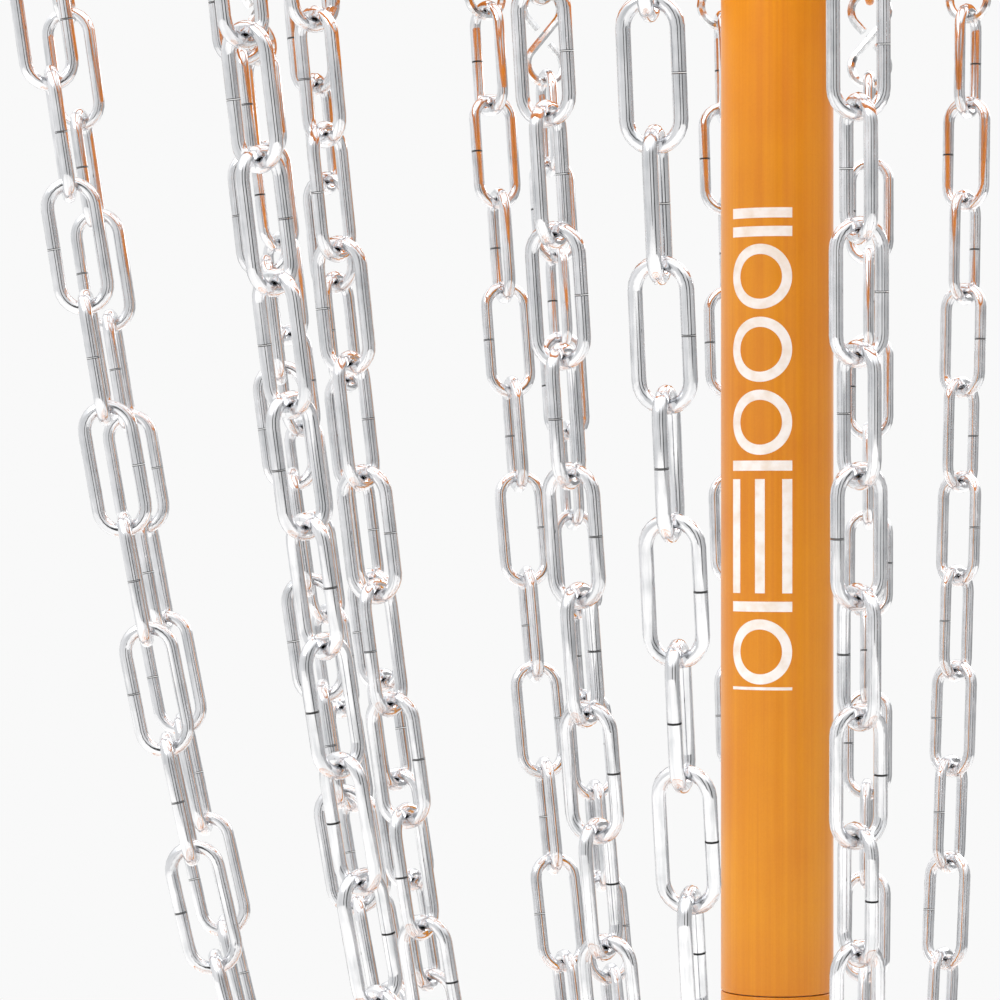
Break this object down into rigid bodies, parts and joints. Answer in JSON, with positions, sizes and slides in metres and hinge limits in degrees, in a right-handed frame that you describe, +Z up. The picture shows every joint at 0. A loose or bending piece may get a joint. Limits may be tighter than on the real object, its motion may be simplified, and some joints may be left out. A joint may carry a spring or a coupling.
{
  "type": "disc golf basket",
  "caption": "Portable disc golf target: an orange pole on a round base, a wire tray and two rings of long-link chains under a band.",
  "frame": {"origin": "on the floor under the middle of the pole", "axes": "+Z up along the pole; -Y faces the viewer; the turns are continuous, so X and Y are free choices"},
  "size_m": [0.66, 0.66, 1.409],
  "materials": {
    "orange_coat": "satin orange powder coat",
    "zinc_plate": "bright zinc plate",
    "turned_steel": "plain turned",
    "black_rubber": "matt",
    "knob_plastic": "moulded, fine grain"
  },
  "bodies": {
    "stand": {"base_ring": "orange_coat", "base_hub": "orange_coat", "base_spoke_1": "orange_coat", "base_spoke_2": "orange_coat", "base_spoke_3": "orange_coat", "base_spoke_4": "orange_coat", "base_foot_1": "black_rubber", "base_foot_2": "black_rubber", "base_foot_3": "black_rubber", "base_foot_4": "black_rubber", "pole_lower": "orange_coat", "pole_middle": "orange_coat", "pole_upper": "orange_coat", "pole_joiner_lower": "turned_steel", "pole_joiner_upper": "turned_steel", "tray_stop_collar": "zinc_plate"},
    "tray": {"tray_rim": "orange_coat", "tray_wall": "orange_coat", "tray_floor": "orange_coat", "tray_collar": "orange_coat"},
    "chain_holder": {"band": "orange_coat", "holder_hub": "orange_coat", "outer_hook_ring": "orange_coat", "inner_hook_ring": "orange_coat", "holder_spoke_1": "orange_coat", "holder_spoke_2": "orange_coat", "holder_spoke_3": "orange_coat", "holder_spoke_4": "orange_coat", "holder_spoke_5": "orange_coat", "holder_spoke_6": "orange_coat"},
    "outer_collector": {"outer_collector_ring": "zinc_plate"},
    "inner_collector": {"inner_collector_ring": "zinc_plate"},
    "base_knob": {"base_lock_knob": "knob_plastic"},
    "tray_knob": {"tray_lock_knob": "knob_plastic"},
    "holder_knob": {"holder_lock_knob": "knob_plastic"},
    "outer_chain_01": {"outer_chain_01": "zinc_plate"},
    "outer_chain_02": {"outer_chain_02": "zinc_plate"},
    "outer_chain_03": {"outer_chain_03": "zinc_plate"},
    "outer_chain_04": {"outer_chain_04": "zinc_plate"},
    "outer_chain_05": {"outer_chain_05": "zinc_plate"},
    "outer_chain_06": {"outer_chain_06": "zinc_plate"},
    "outer_chain_07": {"outer_chain_07": "zinc_plate"},
    "outer_chain_08": {"outer_chain_08": "zinc_plate"},
    "outer_chain_09": {"outer_chain_09": "zinc_plate"},
    "outer_chain_10": {"outer_chain_10": "zinc_plate"},
    "outer_chain_11": {"outer_chain_11": "zinc_plate"},
    "outer_chain_12": {"outer_chain_12": "zinc_plate"},
    "inner_chain_01": {"inner_chain_01": "zinc_plate"},
    "inner_chain_02": {"inner_chain_02": "zinc_plate"},
    "inner_chain_03": {"inner_chain_03": "zinc_plate"},
    "inner_chain_04": {"inner_chain_04": "zinc_plate"},
    "inner_chain_05": {"inner_chain_05": "zinc_plate"},
    "inner_chain_06": {"inner_chain_06": "zinc_plate"},
    "inner_chain_07": {"inner_chain_07": "zinc_plate"},
    "inner_chain_08": {"inner_chain_08": "zinc_plate"},
    "inner_chain_09": {"inner_chain_09": "zinc_plate"},
    "inner_chain_10": {"inner_chain_10": "zinc_plate"},
    "inner_chain_11": {"inner_chain_11": "zinc_plate"},
    "inner_chain_12": {"inner_chain_12": "zinc_plate"}
  },
  "joints": [
    {"name": "tray_turn", "type": "hinge", "parent": "stand", "child": "tray", "pos_m": [0, 0, 0.56], "axis": [0, 0, 1], "continuous": true},
    {"name": "holder_turn", "type": "hinge", "parent": "stand", "child": "chain_holder", "pos_m": [0, 0, 1.312], "axis": [0, 0, 1], "continuous": true},
    {"name": "outer_collector_turn", "type": "hinge", "parent": "chain_holder", "child": "outer_collector", "pos_m": [0.011, 0, 0.66], "axis": [0, 0, 1], "continuous": true},
    {"name": "inner_collector_turn", "type": "hinge", "parent": "chain_holder", "child": "inner_collector", "pos_m": [0.011, 0, 0.6895], "axis": [0, 0, 1], "continuous": true},
    {"name": "base_knob_turn", "type": "hinge", "parent": "stand", "child": "base_knob", "pos_m": [0.03657, -0.0341, 0.088], "axis": [0.7314, -0.682, 0], "continuous": true},
    {"name": "tray_knob_turn", "type": "hinge", "parent": "tray", "child": "tray_knob", "pos_m": [0.03657, -0.0341, 0.577], "axis": [0.7314, -0.682, 0], "continuous": true},
    {"name": "holder_knob_turn", "type": "hinge", "parent": "chain_holder", "child": "holder_knob", "pos_m": [0.03657, -0.0341, 1.332], "axis": [0.7314, -0.682, 0], "continuous": true},
    {"name": "outer_chain_01_swing", "type": "hinge", "parent": "chain_holder", "child": "outer_chain_01", "pos_m": [0.24791, 0.07769, 1.3375], "axis": [-0.2662, -0.0883, -0.9599], "range_deg": [-10, 10]},
    {"name": "outer_chain_02_swing", "type": "hinge", "parent": "chain_holder", "child": "outer_chain_02", "pos_m": [0.17585, 0.19124, 1.3375], "axis": [-0.184, -0.2171, -0.9587], "range_deg": [-10, 10]},
    {"name": "outer_chain_03_swing", "type": "hinge", "parent": "chain_holder", "child": "outer_chain_03", "pos_m": [0.05667, 0.25354, 1.3375], "axis": [-0.0487, -0.2872, -0.9566], "range_deg": [-10, 10]},
    {"name": "outer_chain_04_swing", "type": "hinge", "parent": "chain_holder", "child": "outer_chain_04", "pos_m": [-0.07769, 0.24791, 1.3375], "axis": [0.1033, -0.2801, -0.9544], "range_deg": [-10, 10]},
    {"name": "outer_chain_05_swing", "type": "hinge", "parent": "chain_holder", "child": "outer_chain_05", "pos_m": [-0.19124, 0.17585, 1.3375], "axis": [0.2311, -0.1983, -0.9525], "range_deg": [-10, 10]},
    {"name": "outer_chain_06_swing", "type": "hinge", "parent": "chain_holder", "child": "outer_chain_06", "pos_m": [-0.25354, 0.05667, 1.3375], "axis": [0.3011, -0.0638, -0.9515], "range_deg": [-10, 10]},
    {"name": "outer_chain_07_swing", "type": "hinge", "parent": "chain_holder", "child": "outer_chain_07", "pos_m": [-0.24791, -0.07769, 1.3375], "axis": [0.2948, 0.0875, -0.9516], "range_deg": [-10, 10]},
    {"name": "outer_chain_08_swing", "type": "hinge", "parent": "chain_holder", "child": "outer_chain_08", "pos_m": [-0.17585, -0.19124, 1.3375], "axis": [0.2138, 0.2157, -0.9528], "range_deg": [-10, 10]},
    {"name": "outer_chain_09_swing", "type": "hinge", "parent": "chain_holder", "child": "outer_chain_09", "pos_m": [-0.05667, -0.25354, 1.3375], "axis": [0.0796, 0.2866, -0.9547], "range_deg": [-10, 10]},
    {"name": "outer_chain_10_swing", "type": "hinge", "parent": "chain_holder", "child": "outer_chain_10", "pos_m": [0.07769, -0.24791, 1.3375], "axis": [-0.0725, 0.2809, -0.957], "range_deg": [-10, 10]},
    {"name": "outer_chain_11_swing", "type": "hinge", "parent": "chain_holder", "child": "outer_chain_11", "pos_m": [0.19124, -0.17585, 1.3375], "axis": [-0.2016, 0.1997, -0.9589], "range_deg": [-10, 10]},
    {"name": "outer_chain_12_swing", "type": "hinge", "parent": "chain_holder", "child": "outer_chain_12", "pos_m": [0.25354, -0.05667, 1.3375], "axis": [-0.2726, 0.0644, -0.96], "range_deg": [-10, 10]},
    {"name": "inner_chain_01_swing", "type": "hinge", "parent": "chain_holder", "child": "inner_chain_01", "pos_m": [0.18869, 0.0089, 1.3535], "axis": [-0.1929, -0.0099, -0.9812], "range_deg": [-10, 10]},
    {"name": "inner_chain_02_swing", "type": "hinge", "parent": "chain_holder", "child": "inner_chain_02", "pos_m": [0.15896, 0.10205, 1.3535], "axis": [-0.1599, -0.1131, -0.9806], "range_deg": [-10, 10]},
    {"name": "inner_chain_03_swing", "type": "hinge", "parent": "chain_holder", "child": "inner_chain_03", "pos_m": [0.08664, 0.16786, 1.3535], "axis": [-0.0796, -0.1857, -0.9794], "range_deg": [-10, 10]},
    {"name": "inner_chain_04_swing", "type": "hinge", "parent": "chain_holder", "child": "inner_chain_04", "pos_m": [-0.0089, 0.18869, 1.3535], "axis": [0.026, -0.2084, -0.9777], "range_deg": [-10, 10]},
    {"name": "inner_chain_05_swing", "type": "hinge", "parent": "chain_holder", "child": "inner_chain_05", "pos_m": [-0.10205, 0.15896, 1.3535], "axis": [0.1287, -0.1753, -0.9761], "range_deg": [-10, 10]},
    {"name": "inner_chain_06_swing", "type": "hinge", "parent": "chain_holder", "child": "inner_chain_06", "pos_m": [-0.16786, 0.08664, 1.3535], "axis": [0.201, -0.0954, -0.9749], "range_deg": [-10, 10]},
    {"name": "inner_chain_07_swing", "type": "hinge", "parent": "chain_holder", "child": "inner_chain_07", "pos_m": [-0.18869, -0.0089, 1.3535], "axis": [0.2239, 0.0098, -0.9746], "range_deg": [-10, 10]},
    {"name": "inner_chain_08_swing", "type": "hinge", "parent": "chain_holder", "child": "inner_chain_08", "pos_m": [-0.15896, -0.10205, 1.3535], "axis": [0.1913, 0.1124, -0.9751], "range_deg": [-10, 10]},
    {"name": "inner_chain_09_swing", "type": "hinge", "parent": "chain_holder", "child": "inner_chain_09", "pos_m": [-0.08664, -0.16786, 1.3535], "axis": [0.1117, 0.1851, -0.9763], "range_deg": [-10, 10]},
    {"name": "inner_chain_10_swing", "type": "hinge", "parent": "chain_holder", "child": "inner_chain_10", "pos_m": [0.0089, -0.18869, 1.3535], "axis": [0.0064, 0.2085, -0.978], "range_deg": [-10, 10]},
    {"name": "inner_chain_11_swing", "type": "hinge", "parent": "chain_holder", "child": "inner_chain_11", "pos_m": [0.10205, -0.15896, 1.3535], "axis": [-0.0967, 0.1759, -0.9796], "range_deg": [-10, 10]},
    {"name": "inner_chain_12_swing", "type": "hinge", "parent": "chain_holder", "child": "inner_chain_12", "pos_m": [0.16786, -0.08664, 1.3535], "axis": [-0.1697, 0.096, -0.9808], "range_deg": [-10, 10]}
  ]
}
